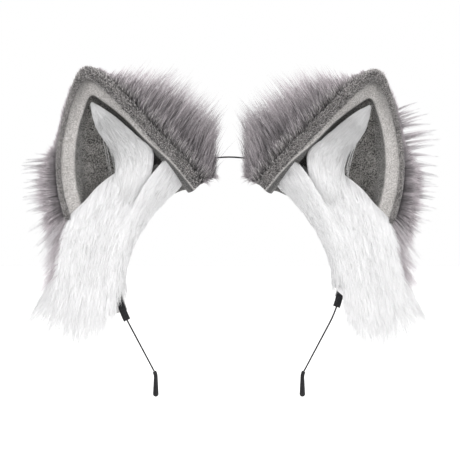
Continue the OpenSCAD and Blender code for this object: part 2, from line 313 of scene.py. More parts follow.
# Root diameters of the hairs in millimetres: one, or the least and the most
NAP_THICK, GUARD_THICK = 0.38, 0.22
BACK_THICK, TUFT_THICK, TEMPLE_THICK = (0.26, 0.4), (0.25, 0.38), (0.28, 0.42)


def hair_template(rings):
    """One hair: a three-sided cone cut into rings. Its z runs from 0 at the root to 1 at the tip."""
    bm = bmesh.new()
    bmesh.ops.create_cone(bm, cap_ends=True, segments=3, radius1=1, radius2=0, depth=1)
    bmesh.ops.translate(bm, verts=bm.verts, vec=(0, 0, 0.5))
    for k in range(1, rings):
        bmesh.ops.bisect_plane(
            bm, geom=bm.verts[:] + bm.edges[:] + bm.faces[:], plane_co=(0, 0, k / rings), plane_no=(0, 0, 1))
    bm.loops.layers.uv.new(UV_MAP)
    return mesh_of(bm, "hair")


def hair_mesh(name, count, rings):
    """count copies of one hair in one mesh."""
    template = bpy.data.objects.new(name, hair_template(rings))
    bpy.context.scene.collection.objects.link(template)
    array = template.modifiers.new("Copies", "ARRAY")
    array.count = count
    array.use_relative_offset = False
    array.use_constant_offset = False
    one = np.zeros(len(template.data.vertices) * 3)
    template.data.vertices.foreach_get("co", one)
    graph = bpy.context.evaluated_depsgraph_get()
    mesh = bpy.data.meshes.new_from_object(template.evaluated_get(graph))
    mesh.name = name
    old = template.data
    bpy.data.objects.remove(template)
    bpy.data.meshes.remove(old)
    return mesh, one.reshape(-1, 3)


def bezier_way(points, t):
    """Places on the smooth curve that each hair's control points draw: (n, 4, 3) and t in 0 to 1."""
    t = np.asarray(t)[None, :, None]
    a, b, c, d = (points[:, k, None, :] for k in range(4))
    return a * (1 - t) ** 3 + 3 * b * t * (1 - t) ** 2 + 3 * c * t ** 2 * (1 - t) + d * t ** 3


def held_in(ways):
    """Shortens the hairs that would stand out sideways too far beyond the frame's box."""
    root, tip = ways[:, :1], ways[:, 3, 0]
    edge = np.where(tip > 0, CAD_BOX[1][0], -CAD_BOX[0][0]) + SIDE_REACH
    over = np.maximum(np.abs(tip) - edge, 0) / np.maximum(np.abs(tip - root[:, 0, 0]), 1e-6)
    return root + (ways - root) * (1 - np.clip(over * 1.3, 0, 0.6))[:, None, None]


def combed(root, lie, reach, out=0.0, shares=(0.3, 0.66), lifts=(0.12, 0.1), curl=0.0, end=0.0):
    """Control points of hairs from root along lie for reach: lifts raise their middle, end moves the tips."""
    low, middle = (reach * (share * lie + lift * out) for share, lift in zip(shares, lifts))
    return np.stack((root, root + low, root + middle + curl * 0.5, root + reach * lie + curl + end), axis=1)


def grow_hair(side, label, ways, thick, tone, finish, rings=3, fine=0.55):
    """Makes a piece of hair. ways are control points (n, 4, 3) for +X, thick the root's diameter and tone
    from 0, dark, to 1, light."""
    ways = held_in(side.put(ways))
    mesh, one = hair_mesh(f"{side.name}_{label}", len(ways), rings)
    heights, which = np.unique(np.round(one[:, 2], 4), return_inverse=True)
    spine = bezier_way(ways, heights)
    go = direction(lambda t: bezier_way(ways, t), heights, 4 * STEP)
    ref = np.where(np.abs(go[..., 1:2]) > 0.9, UP, BACK)
    across = unit(np.cross(go, ref))
    other = np.cross(go, across)
    width = np.broadcast_to(thick, len(ways))[:, None] / 2 * (1 - heights[None, :]) ** fine
    spine, across, other, width = spine[:, which], across[:, which], other[:, which], width[:, which]
    flat = np.hypot(one[:, 0], one[:, 1])
    c = (one[:, 0] / np.maximum(flat, 1e-9))[None, :, None]
    s = (one[:, 1] / np.maximum(flat, 1e-9))[None, :, None]
    points = spine + width[..., None] * (c * other + s * across)
    mesh.vertices.foreach_set("co", points.reshape(-1).astype(np.float32))
    column = np.minimum((np.clip(tone, 0, 1) * TONES).astype(int), TONES - 1)
    corner = np.zeros(len(mesh.loops), np.int32)
    mesh.loops.foreach_get("vertex_index", corner)
    hair, part = corner // len(one), corner % len(one)
    turn = (np.degrees(np.arctan2(one[:, 1], one[:, 0])) % 360) / 360
    inside = np.where(flat > 1e-6, 0.1 + 0.8 * turn, 0.5)
    uv = np.stack(((column[hair] + inside[part]) / TONES, 0.02 + 0.96 * one[part, 2]), axis=1)
    mesh.uv_layers[UV_MAP].data.foreach_set("uv", uv.reshape(-1).astype(np.float32))
    mesh.update()
    place_piece(mesh, side, label, finish)


def into_locks(ways, size, pull, rng):
    """Draws the tips of neighbouring hairs together, so that the pile breaks into pointed locks."""
    count = max(2, len(ways) // size)
    chosen = rng.choice(len(ways), count, replace=False)
    tree = KDTree(count)
    for k, i in enumerate(chosen):
        tree.insert(ways[i, 0], k)
    tree.balance()
    lock = np.array([tree.find(p)[1] for p in ways[:, 0]])
    lead = ways[chosen][lock]
    strength = pull * rng.uniform(0.6, 1.1, len(ways))[:, None]
    out = ways.copy()
    for k, share in ((1, 0.1), (2, 0.5), (3, 1.0)):
        out[:, k] += (lead[:, k] - ways[:, k]) * strength * share
    return out, lock


def lock_tone(lock, spread, base, rng):
    """A tone for each hair: base, with one step for its lock and a smaller one of its own."""
    steps = rng.normal(0, spread, lock.max() + 1)
    return np.clip(base + steps[lock] + rng.normal(0, spread * 0.6, len(lock)), 0, 1)


# ---- materials

SOCKETS = {1: "NodeSocketFloat", 3: "NodeSocketVector", 4: "NodeSocketColor"}
PLUSH_ROUGH, PLUSH_GLOSS, PILE_RELIEF = 0.85, 0.2, 0.8 * MM
CREASE_SHADE = (0.012, 0.011, 0.01)


def rgba(colour):
    return (*colour, 1.0)


def scaled(colour, k):
    return tuple(min(1.0, c * k) for c in colour)


def add_node(tree, kind, inputs=(), **settings):
    """A node with its settings. inputs, in order or by name, are plain values or sockets to link from."""
    node = tree.nodes.new("ShaderNode" + kind)
    for name, value in settings.items():
        setattr(node, name, value)
    for key, value in inputs.items() if isinstance(inputs, dict) else enumerate(inputs):
        if isinstance(value, bpy.types.NodeSocket):
            tree.links.new(value, node.inputs[key])
        else:
            node.inputs[key].default_value = value
    return node


def math_node(tree, operation, *values, clamp=False):
    return add_node(tree, "Math", values, operation=operation, use_clamp=clamp).outputs[0]


def mix_colour(tree, factor, a, b):
    return add_node(tree, "Mix", {0: factor, 6: a, 7: b}, data_type="RGBA").outputs[2]


def map_range(tree, value, low, high, to_low=0.0, to_high=1.0):
    given = (value, low, high, to_low, to_high)
    return add_node(tree, "MapRange", given, interpolation_type="SMOOTHSTEP").outputs[0]


def new_group(name, inputs, *outputs):
    """A shader group. An input is a number, a vector or a colour, as its default is."""
    group = bpy.data.node_groups.new(name, "ShaderNodeTree")
    for label, value in inputs.items():
        kind = SOCKETS[len(value) if isinstance(value, tuple) else 1]
        group.interface.new_socket(name=label, in_out="INPUT", socket_type=kind).default_value = value
    for label in outputs:
        kind = SOCKETS[4 if label == "Color" else 1]
        group.interface.new_socket(name=label, in_out="OUTPUT", socket_type=kind)
    return group, group.nodes.new("NodeGroupInput").outputs, group.nodes.new("NodeGroupOutput").inputs


def hair_tone_group():
    """Colour of a hair from its tone and the way along it."""
    group, given, out = new_group("Hair tone", {
        "Tone": 0.5, "Way": 0.5, "Root": (0.1, 0.1, 0.1, 1), "Middle": (0.25, 0.25, 0.25, 1),
        "Tip": (0.6, 0.6, 0.6, 1), "Dark": 0.6, "Light": 1.4}, "Color")
    body = mix_colour(group, map_range(group, given["Way"], 0.0, 0.4), given["Root"], given["Middle"])
    body = mix_colour(group, map_range(group, given["Way"], 0.35, 0.85), body, given["Tip"])
    span = math_node(group, "SUBTRACT", given["Light"], given["Dark"])
    gain = math_node(group, "MULTIPLY_ADD", span, given["Tone"], given["Dark"])
    scale = add_node(group, "VectorMath", {0: body, "Scale": gain}, operation="SCALE")
    group.links.new(scale.outputs[0], out["Color"])
    return group


def speckle_group():
    """Plush as it is seen from above: light and dark pile ends, and their height."""
    group, given, out = new_group("Plush speckle", {
        "Dark": (0.05, 0.05, 0.05, 1), "Light": (0.2, 0.2, 0.2, 1), "Size": 900.0, "Contrast": 1.0,
    }, "Color", "Height")
    where = add_node(group, "TexCoord").outputs["Object"]
    fine = add_node(
        group, "TexNoise", {"Vector": where, "Scale": given["Size"], "Detail": 3, "Roughness": 0.7})
    wide = add_node(group, "TexNoise", {"Vector": where, "Scale": 160, "Detail": 2})
    both = math_node(group, "MULTIPLY_ADD", wide.outputs["Fac"], 0.14, fine.outputs["Fac"])
    strong = math_node(group, "MULTIPLY", math_node(group, "SUBTRACT", both, 0.57), given["Contrast"])
    share = math_node(group, "MULTIPLY_ADD", strong, 2.6, 0.5, clamp=True)
    group.links.new(mix_colour(group, share, given["Dark"], given["Light"]), out["Color"])
    group.links.new(share, out["Height"])
    return group


def weave_group():
    """Fine ribs of a woven ribbon or twisted thread: a mask."""
    group, given, out = new_group("Ribs", {"Scale": 900.0, "Across": (1.0, 1.0, 0.0)}, "Mask")
    where = add_node(group, "TexCoord").outputs["Object"]
    dot = add_node(group, "VectorMath", (where, given["Across"]), operation="DOT_PRODUCT")
    wave = math_node(group, "SINE", math_node(group, "MULTIPLY", dot.outputs["Value"], given["Scale"]))
    group.links.new(math_node(group, "MULTIPLY_ADD", wave, 0.5, 0.5), out["Mask"])
    return group


def wear_group():
    """Blotches of handling on a hard surface: a mask."""
    group, given, out = new_group("Handling", {"Scale": 120.0, "Amount": 0.5}, "Mask")
    where = add_node(group, "TexCoord").outputs["Object"]
    noise = add_node(group, "TexNoise", {"Vector": where, "Scale": given["Scale"], "Detail": 5})
    mask = map_range(group, noise.outputs["Fac"], 0.45, 0.75)
    group.links.new(math_node(group, "MULTIPLY", mask, given["Amount"], clamp=True), out["Mask"])
    return group


GROUP_MAKERS = {
    "Hair tone": hair_tone_group, "Plush speckle": speckle_group, "Ribs": weave_group, "Handling": wear_group,
}


def group_node(tree, name, **values):
    """A shader group, built once, with its own values in each material."""
    group = bpy.data.node_groups.get(name) or GROUP_MAKERS[name]()
    return add_node(tree, "Group", values, node_tree=group)


def new_material(name, rough, sheen=0.0, specular=0.5, metal=0.0):
    material = bpy.data.materials.new(name)
    material.use_nodes = True
    shader = material.node_tree.nodes["Principled BSDF"]
    for label, value in (("Roughness", rough), ("Sheen Weight", sheen), ("Sheen Roughness", 0.5),
                         ("Specular IOR Level", specular), ("Metallic", metal)):
        shader.inputs[label].default_value = value
    return material, material.node_tree, shader


def bump(tree, height, shader, strength, distance):
    node = add_node(tree, "Bump", {"Strength": strength, "Distance": distance, "Height": height})
    tree.links.new(node.outputs["Normal"], shader.inputs["Normal"])


def hair_material(name, root, middle, tip, dark, light, rough=0.55, sheen=0.15, specular=0.3):
    material, tree, shader = new_material(name, rough, sheen, specular)
    where = add_node(tree, "UVMap", uv_map=UV_MAP)
    parts = add_node(tree, "SeparateXYZ", (where.outputs["UV"],)).outputs
    tone = group_node(tree, "Hair tone", Tone=parts["X"], Way=parts["Y"], Root=rgba(root),
                      Middle=rgba(middle), Tip=rgba(tip), Dark=dark, Light=light)
    tree.links.new(tone.outputs["Color"], shader.inputs["Base Color"])
    return material


def speckle(tree, dark, light, size, contrast):
    return group_node(
        tree, "Plush speckle", Dark=rgba(dark), Light=rgba(light), Size=size, Contrast=contrast).outputs


def plush_material(name, dark, light, size, contrast, sheen=0.3):
    material, tree, shader = new_material(name, PLUSH_ROUGH, sheen, PLUSH_GLOSS)
    pile = speckle(tree, dark, light, size, contrast)
    tree.links.new(pile["Color"], shader.inputs["Base Color"])
    bump(tree, pile["Height"], shader, 0.7, PILE_RELIEF)
    return material


def lining_material(name, well_dark, well_light, band_dark, band_light):
    """Dark plush with the light border and the shade that the piece's own attributes mark."""
    material, tree, shader = new_material(name, PLUSH_ROUGH, 0.3, PLUSH_GLOSS)
    dark_pile = speckle(tree, well_dark, well_light, 1500.0, 2.4)
    light_pile = speckle(tree, band_dark, band_light, 1400.0, 1.3)
    border, shade = (
        add_node(tree, "Attribute", attribute_name=label).outputs["Fac"] for label in ("border", "shade"))
    both = mix_colour(tree, border, dark_pile["Color"], light_pile["Color"])
    tree.links.new(mix_colour(tree, shade, both, rgba(CREASE_SHADE)), shader.inputs["Base Color"])
    bump(tree, dark_pile["Height"], shader, 0.8, PILE_RELIEF)
    return material


def masked_material(name, surface, group, values, low, high, rough=None, relief=None):
    """A finish whose colour goes from low to high with a group's mask, and its roughness and relief too."""
    material, tree, shader = new_material(name, *surface)
    mask = group_node(tree, group, **values).outputs["Mask"]
    tree.links.new(mix_colour(tree, mask, rgba(low), rgba(high)), shader.inputs["Base Color"])
    if rough:
        tree.links.new(map_range(tree, mask, 0, 1, *rough), shader.inputs["Roughness"])
    if relief:
        bump(tree, mask, shader, *relief)
    return material


def painted_glow(material, strength):
    """Paints light into white hair: a little emission, a painted glow that lifts the shade between the hairs.
    """
    shader = material.node_tree.nodes["Principled BSDF"]
    shader.inputs["Emission Color"].default_value = (0.95, 0.95, 0.97, 1)
    shader.inputs["Emission Strength"].default_value = strength
    return material


BLACK = (0.006, 0.006, 0.007)
FINISHES = {
    "wire": lambda look: masked_material(
        "Black spring wire", (0.5, 0.0, 0.12), "Handling", {"Scale": 260.0, "Amount": 0.5},
        BLACK, (0.025, 0.024, 0.023), rough=(0.3, 0.55)),
    "rubber": lambda look: masked_material(
        "Dipped rubber", (0.42, 0.0, 0.25), "Handling", {"Scale": 420.0, "Amount": 0.8},
        BLACK, (0.02, 0.02, 0.022), rough=(0.25, 0.5), relief=(0.15, 0.3 * MM)),
    "ribbon": lambda look: masked_material(
        "Black ribbon", (0.6, 0.0, 0.12), "Ribs", {"Scale": 7000.0, "Across": (0.25, 0.0, 1.0)},
        BLACK, (0.03, 0.03, 0.033), relief=(0.5, 0.4 * MM)),
    "thread": lambda look: masked_material(
        "Sewing thread", (0.6, 0.2), "Ribs", {"Scale": 9000.0, "Across": (1.0, 1.0, 1.0)},
        (0.12, 0.115, 0.115), (0.32, 0.31, 0.31), relief=(0.4, 0.3 * MM)),
    "soft_wire": lambda look: masked_material(
        "Soft drawn wire", (0.3, 0.0, 0.5, 1.0), "Handling", {"Scale": 300.0, "Amount": 0.6},
        (0.5, 0.5, 0.51), (0.3, 0.3, 0.31)),
    "felt": lambda look: plush_material(
        "Pressed felt", (0.42, 0.41, 0.41), (0.6, 0.59, 0.59), 700.0, 1.0, sheen=0.2),
    "foam": lambda look: plush_material("Open foam", (0.5, 0.48, 0.43), (0.72, 0.7, 0.65), 1100.0, 1.4, 0.0),
    "rim": lambda look: plush_material("Rim plush", (0.02, 0.018, 0.018), (0.34, 0.32, 0.31), 1500.0, 2.2),
    "rim_nap": lambda look: hair_material(
        "Rim nap", (0.03, 0.028, 0.028), (0.13, 0.122, 0.12), (0.4, 0.385, 0.38), 0.15, 2.5),
    "lining": lambda look: lining_material(
        "Ear lining", (0.02, 0.019, 0.018), (0.37, 0.355, 0.335), (0.33, 0.31, 0.295), (0.82, 0.79, 0.77)),
    "pelt": lambda look: plush_material(
        "Fur backing", (0.04, 0.037, 0.038), (0.12, 0.11, 0.113), 1200.0, 1.0),
    "back_fur": lambda look: hair_material(
        "Grey fur", scaled(look.grey, 0.75), look.grey, scaled(look.grey, 2.5), 0.4, 1.6),
    "guard": lambda look: hair_material(
        "Grey guard hair", scaled(look.grey, 1.3), scaled(look.grey, 2.3), (0.85, 0.84, 0.85), 0.75, 1.25),
    # The white fur gets a painted glow: a little emission that lifts the shade between its hairs.
    "white_fur": lambda look: painted_glow(hair_material(
        "White fur", scaled(look.white, 0.9), look.white, (0.95, 0.95, 0.95), 0.74, 1.02, 0.6, 0.1), 0.09),
    # The tuft's fur is the white fur with a darker low end and a weaker painted glow: painted shade for its
    # place inside the cup.
    "tuft_fur": lambda look: painted_glow(hair_material(
        "Tuft fur", scaled(look.white, 0.9), look.white, (0.92, 0.92, 0.92), 0.58, 1.0, 0.6, 0.1), 0.04),
    "white_skin": lambda look: plush_material(
        "White fur backing", (0.66, 0.65, 0.66), (0.84, 0.83, 0.84), 900.0, 0.8),
}
MATERIALS = {}


def material_for(name):
    """Each finish is made once."""
    if name not in MATERIALS:
        MATERIALS[name] = FINISHES[name](bpy.context.scene.ears_look)
    return MATERIALS[name]


# ---- what a user would change

def fur_length(name, description, default, low, high):
    return bpy.props.FloatProperty(
        name=name, description=description, default=default * MM, min=low * MM, max=high * MM, unit="LENGTH")


def hair_count(name, description, default, high):
    return bpy.props.IntProperty(name=name, description=description, default=default, min=100, max=high)


def fur_colour(name, description, default):
    return bpy.props.FloatVectorProperty(
        name=name, description=description, subtype="COLOR", size=3, default=default, min=0.0, max=1.0)


class EarsSize(bpy.types.PropertyGroup):
    """Sizes and hair counts of the soft parts."""

    right_turn: bpy.props.FloatProperty(
        name="Right ear turn", description="How far the right ear sits down the arch, in degrees",
        default=1.2, min=0.0, max=2.0)
    back_length: fur_length("Back fur length", "Length of the grey fur on the back", 29, 8, 32)
    guard_length: fur_length("Guard hair length", "Length of the loose locks on the outer side", 30, 10, 32)
    temple_length: fur_length("Temple fur length", "Length of the white fur over the temples", 24, 10, 34)
    crown_hairs: hair_count("Crown hairs", "Hairs of the fan behind each inner rim", 9600, 9600)
    roll_hairs: hair_count("Roll hairs", "Hairs on the outside of each inner rim", 2800, 2800)
    outer_hairs: hair_count("Outer hairs", "Hairs on the outer side of each ear", 9000, 12000)
    temple_hairs: hair_count("Temple hairs", "Hairs in each temple fur", 11900, 12000)
    tuft_hairs: hair_count("Tuft hairs", "Hairs in each inner tuft", 6500, 12000)
    nap_hairs: hair_count("Nap hairs", "Pile ends on each rim", 13000, 19000)


class EarsLook(bpy.types.PropertyGroup):
    """Colours of the fur."""

    grey: fur_colour("Grey", "Middle colour of the grey fur", (0.235, 0.215, 0.225))
    white: fur_colour("White", "Colour of the white fur", (0.86, 0.855, 0.86))


# ---- the stage

FLOOR_RADIUS, FLOOR_DROP = 6.0, 0.09
WHITE = (1, 1, 1, 1)
# Place, power in watts and side of each square light
LIGHTS = {
    "key_light": ((-0.5, -0.9, 0.9), 5.0, 0.8),
    "fill_light": ((0.7, -0.8, 0.2), 2.0, 0.8),
    "back_light": ((0.1, 0.9, 0.8), 3.0, 0.9),
}
LIGHT_AIM = (0, 0, 0.03)
CAMERA_PLACE, CAMERA_LENS, CAMERA_SENSOR = (0.0006, -0.818, 0.0259), 100, 36


class EARS_OT_stage(bpy.types.Operator):
    """Make the floor, the lights, the world and the camera"""

    bl_idname = "ears.stage"
    bl_label = "Stage"

    def execute(self, context):
        scene = context.scene
        bm = bmesh.new()
        bmesh.ops.create_circle(bm, cap_ends=True, segments=64, radius=FLOOR_RADIUS)
        bmesh.ops.translate(bm, verts=bm.verts, vec=(0, 0, CAD_BOX[0][2] - FLOOR_DROP))
        floor = bpy.data.objects.new("floor", mesh_of(bm, "floor"))
        material, _, shader = new_material("Pale floor", 0.9, 0.0, 0.1)
        shader.inputs["Base Color"].default_value = (0.9, 0.9, 0.9, 1)
        shader.inputs["Emission Color"].default_value = WHITE
        shader.inputs["Emission Strength"].default_value = 0.35
        floor.data.materials.append(material)
        scene.collection.objects.link(floor)

        world = bpy.data.worlds.new("Studio")
        world.use_nodes = True
        background = world.node_tree.nodes["Background"]
        background.inputs["Color"].default_value = WHITE
        background.inputs["Strength"].default_value = 1.0
        scene.world = world
        scene.view_settings.view_transform = "Standard"

        for name, (place, energy, size) in LIGHTS.items():
            lamp = bpy.data.lights.new(name, "AREA")
            lamp.energy = energy
            lamp.size = size
            light = bpy.data.objects.new(name, lamp)
            light.location = place
            aim = np.array(LIGHT_AIM) - np.array(place)
            light.rotation_euler = (
                math.atan2(math.hypot(aim[0], aim[1]), -aim[2]), 0, math.atan2(aim[1], aim[0]) - math.pi / 2)
            scene.collection.objects.link(light)

        data = bpy.data.cameras.new("camera")
        data.lens = CAMERA_LENS
        data.sensor_width = CAMERA_SENSOR
        camera = bpy.data.objects.new("camera", data)
        camera.location = CAMERA_PLACE
        camera.rotation_euler = (math.pi / 2, 0, 0)
        scene.collection.objects.link(camera)
        scene.camera = camera
        return {"FINISHED"}


# ---- hard parts

class EARS_OT_hardware(bpy.types.Operator):
    """Give the wire, caps, sleeves, felt, thread, foam and shaping wire their finishes"""

    bl_idname = "ears.hardware"
    bl_label = "Wire and fixings"

    def execute(self, context):
        finishes = {
            "headband_wire": "wire", "end_cap": "rubber", "wire_sleeve": "ribbon", "felt_strip": "felt",
            "felt_stitches": "thread", "ear_core": "foam", "rim_wire": "soft_wire",
        }
        for name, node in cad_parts.items():
            for ending, finish in finishes.items():
                if name.endswith(ending):
                    node.data.materials.clear()
                    node.data.materials.append(material_for(finish))
        return {"FINISHED"}


# ---- the rim roll

def on_roll(t, out, sunk):
    """Places on the roll's surface, sunk a little into it."""
    return rim(t) + out * (ROLL_R * along(ROLL_SHAPE, t) - sunk)[:, None]


def rim_nap(count, rng):
    """Short pile all round the roll, combed towards the tip, that grows into the fur behind the inner rim."""
    t = rng.uniform(0, 1, count)
    a = rng.uniform(0, 2 * np.pi, count)
    go, back, across = path_axes(rim, t)
    out = np.cos(a)[:, None] * across + np.sin(a)[:, None] * back
    root = on_roll(t, out, 0.15 * MM)
    away = np.cos(a) * np.where(across[:, 2] > 0, 1, -1)
    behind = ramp(t, 0.58, 0.7) * ramp(away + 0.4 * np.sin(a), 0.45, 0.95)
    along_rim = np.where(t < 0.5, 1, -1)[:, None] * go
    lie = unit(out + 0.8 * along_rim * (1 - behind)[:, None] + np.array((-0.1, 0, 0.7)) * behind[:, None]
               + rng.normal(0, 0.35, (count, 3)) * (1 - 0.5 * behind)[:, None])
    short = 0.35 + 0.65 * ramp(t, 0.36, 0.5)
    length = (rng.uniform(1.1, 2.3, count) * short + behind * rng.uniform(3, 9, count))[:, None] * MM
    ways = combed(root, lie, length, shares=(0.35, 0.7))
    at_tip = ramp(np.abs(t - 0.54), 0.2, 0.05) * ramp(out[:, 2], 0.0, 0.8)
    return ways, np.clip(rng.normal(0.42, 0.45, count) + 0.6 * at_tip, 0, 1)


class EARS_OT_rims(bpy.types.Operator):
    """Make the rolled plush rim of each ear, with its short pile"""

    bl_idname = "ears.rims"
    bl_label = "Rim rolls"

    def execute(self, context):
        size = context.scene.ears_size
        for side, rng in sides(seed=100):
            phase = rng.uniform(0, 2 * np.pi, 3)

            def radius(t):
                ripple = np.sin(t * 61 + phase[0]) + np.sin(t * 97 + phase[1])
                taper = 1 - 0.4 * ramp(t, 0.03, 0) - 0.45 * ramp(t, 0.95, 1)
                return ROLL_R * along(ROLL_SHAPE, t) * (1 + 0.025 * ripple) * taper

            bm, _ = cloth_grid(20, 150, tube_place(rim, radius), wrap=True)
            for vert in bm.verts:
                vert.co = side.put(vert.co)
            bmesh.ops.recalc_face_normals(bm, faces=bm.faces)
            roll = finish_piece(bm, side, "rim", "rim", "rim_roll")
            ways, tone = rim_nap(size.nap_hairs, rng)
            grow_hair(side, "rim_nap", ways, NAP_THICK * MM, tone, "rim_nap", rings=2)
        return {"FINISHED"}


# ---- the lining

def lining_place(t, e):
    """From the rim (e = 0) over the flat border into the cup's back (e = 1)."""
    _, v = spoke(t, np.ones_like(t))
    start = 1 - np.abs(2 * t - 1)
    side_u = 0.5 + 0.24 * np.sign(t - 0.5) * (1 - np.clip(start, 0, 1) ** 2)
    wall, deep = (
        cup(across, up) + cup_out(across, up) * LINING_HEIGHT
        for across, up in ((side_u, start * 0.93), (np.full_like(t, 0.5), v)))
    edge, inner = rim(t), well(t)
    knots = np.stack([
        edge, edge + (inner - edge) * 0.55 + BACK * 0.3 * MM, inner,
        inner + (deep - inner) * 0.1 + BACK * 4 * MM, wall + (deep - wall) * 0.3, deep])
    return smooth_way(knots, e, np.arange(len(t)))


def border_mark(e, t):
    """1 on the light border, 0 in the dark well; and how much shade lies in the crease and deeper in."""
    light = ramp(e, 0.47, 0.39)
    inner_side = ramp(t, 0.42, 0.55)
    crease = ramp(e, 0.36, 0.44) * ramp(e, 0.66, 0.5) * (0.1 + 0.75 * inner_side)
    edge = ramp(e, 0.2, 0.1) * 0.6 * inner_side + ramp(e, 0.12, 0.04) * 0.25 * (1 - inner_side)
    edge = edge + 0.4 * ramp(np.abs(t - 0.45), 0.22, 0.02) * ramp(e, 0.34, 0.1) * (1 - 0.5 * inner_side)
    return light, np.clip(crease + edge + 0.55 * inner_side * ramp(e, 0.5, 0.75), 0, 1)


class EARS_OT_linings(bpy.types.Operator):
    """Make the plush lining of each ear, with its light border"""

    bl_idname = "ears.linings"
    bl_label = "Ear linings"

    def execute(self, context):
        for side, _ in sides():
            bm, st = cloth_grid(140, 40, lambda s, t: side.put(lining_place(s, t)), facing=(0, -1, 0))
            piece = finish_piece(bm, side, "lining", "lining", "ear_lining")
            for label, values in zip(("border", "shade"), border_mark(st[:, 1], st[:, 0])):
                mark = piece.data.attributes.new(label, "FLOAT", "POINT")
                mark.data.foreach_set("value", values.astype(np.float32))
            thicken(piece, LINING_THICK)
        return {"FINISHED"}


# ---- the back fur

def back_roots(count, low, high, rng):
    """Even places on part of the cup's back: u from low to high."""
    u = rng.uniform(low, high, count * 4)
    v = rng.uniform(0.0, 0.985, count * 4)
    area = np.linalg.norm(np.cross(
        cup(u + STEP, v) - cup(u - STEP, v), cup(u, v + STEP) - cup(u, v - STEP)), axis=1)
    keep = rng.uniform(0, 1, count * 4) < area / np.quantile(area, 0.97)
    return u[keep][:count], v[keep][:count]


def crown_ways(u, v, length, rng):
    """The fan behind the inner rim: long, brushed up and inwards, short towards the tip."""
    n = len(u)
    root, out = on_skin(u, v)
    near_rim = ramp(u, 0.6, 0.9)
    corner = ramp(v, 0.22, 0.02) * ramp(u, 0.6, 0.8)
    lie = np.stack((
        -0.46 + 0.32 * ramp(v, 0.3, 0.02) + 0.1 * corner, 0.3 - 0.3 * near_rim, 0.92 + 0 * v), axis=1)
    lie = unit(lie + out * (0.15 + 0.25 * (1 - corner))[:, None] + rng.normal(0, 0.1, (n, 3)))
    reach = length * (0.42 + 0.58 * ramp(v, 0.9, 0.45)) * (0.72 + 0.28 * near_rim)
    reach = reach * (1 + 0.16 * ramp(v, 0.06, 0.2) * ramp(v, 0.65, 0.4)) * (1 - 0.3 * ramp(v, 0.08, 0.0))
    reach = reach * np.where(rng.uniform(0, 1, n) > 0.94, 1.22, 1.0)
    reach = (reach * (1 - 0.85 * ramp(v, 0.66, 0.88)) * rng.uniform(0.35, 1.2, n) ** 0.7)[:, None]
    curl = rng.normal(0, 0.05, (n, 3)) * reach
    return combed(
        root, lie, reach, out, lifts=(0.1, 0.08), curl=curl, end=np.array((-0.1, 0, 0.0)) * reach)


def roll_ways(count, rng):
    """Hair on the outside of the inner rim's roll, that covers where the fan begins."""
    t = rng.uniform(0.56, 0.99, count)
    _, back, across = path_axes(rim, t)
    across = across * np.where(across[:, 2:] > 0, 1, -1)
    a = rng.uniform(-0.35, 1.3, count)[:, None]
    out = np.cos(a) * across + np.sin(a) * back
    root = on_roll(t, out, 0.2 * MM)
    lie = unit(np.array((-0.38, 0.12, 0.9)) + 0.25 * out + rng.normal(0, 0.14, (count, 3)))
    reach = (rng.uniform(4, 15, count) * (1 - 0.75 * ramp(t, 0.7, 0.58)))[:, None] * MM
    return combed(root, lie, reach, out), t


def hem_ways(count, rng):
    """Short hair that folds over the lower edge of the fan."""
    u, v = rng.uniform(0.56, 0.985, count), rng.uniform(0.0, 0.07, count)
    root, out = on_skin(u, v)
    lie = unit(np.array((-0.25, 0.0, -0.45)) + out * 0.75 + rng.normal(0, 0.22, (count, 3)))
    reach = (rng.uniform(3.5, 7.5, count) * (1 - 0.4 * ramp(v, 0.02, 0.07)))[:, None] * MM
    return combed(root, lie, reach, out, end=-UP * reach * 0.1)


def outer_ways(u, v, length, rng):
    """The short pile of the outer side, which lies back near the tip and hangs at the foot."""
    n = len(u)
    root, out = on_skin(u, v)
    z = root[:, 2]
    high, low = ramp(z, 58 * MM, 86 * MM)[:, None], ramp(z, 52 * MM, 26 * MM)[:, None]
    lie = (np.array((0.95, 0.1, 0.05)) * (1 - high) * (1 - low) + np.array((0.05, 0.75, 0.66)) * high
           + np.array((0.5, 0.1, -0.85)) * low)
    lie = unit(lie + out * 0.12 + rng.normal(0, 0.12, (n, 3)))
    reach = length * (0.48 - 0.2 * high[:, 0] + 0.14 * low[:, 0]) * ramp(u, -0.08, 0.08)
    reach = (reach * rng.uniform(0.6, 1.2, n))[:, None]
    curl = rng.normal(0, 0.07, (n, 3)) * reach
    return combed(root, lie, reach, out, curl=curl, end=-UP * reach * 0.04)


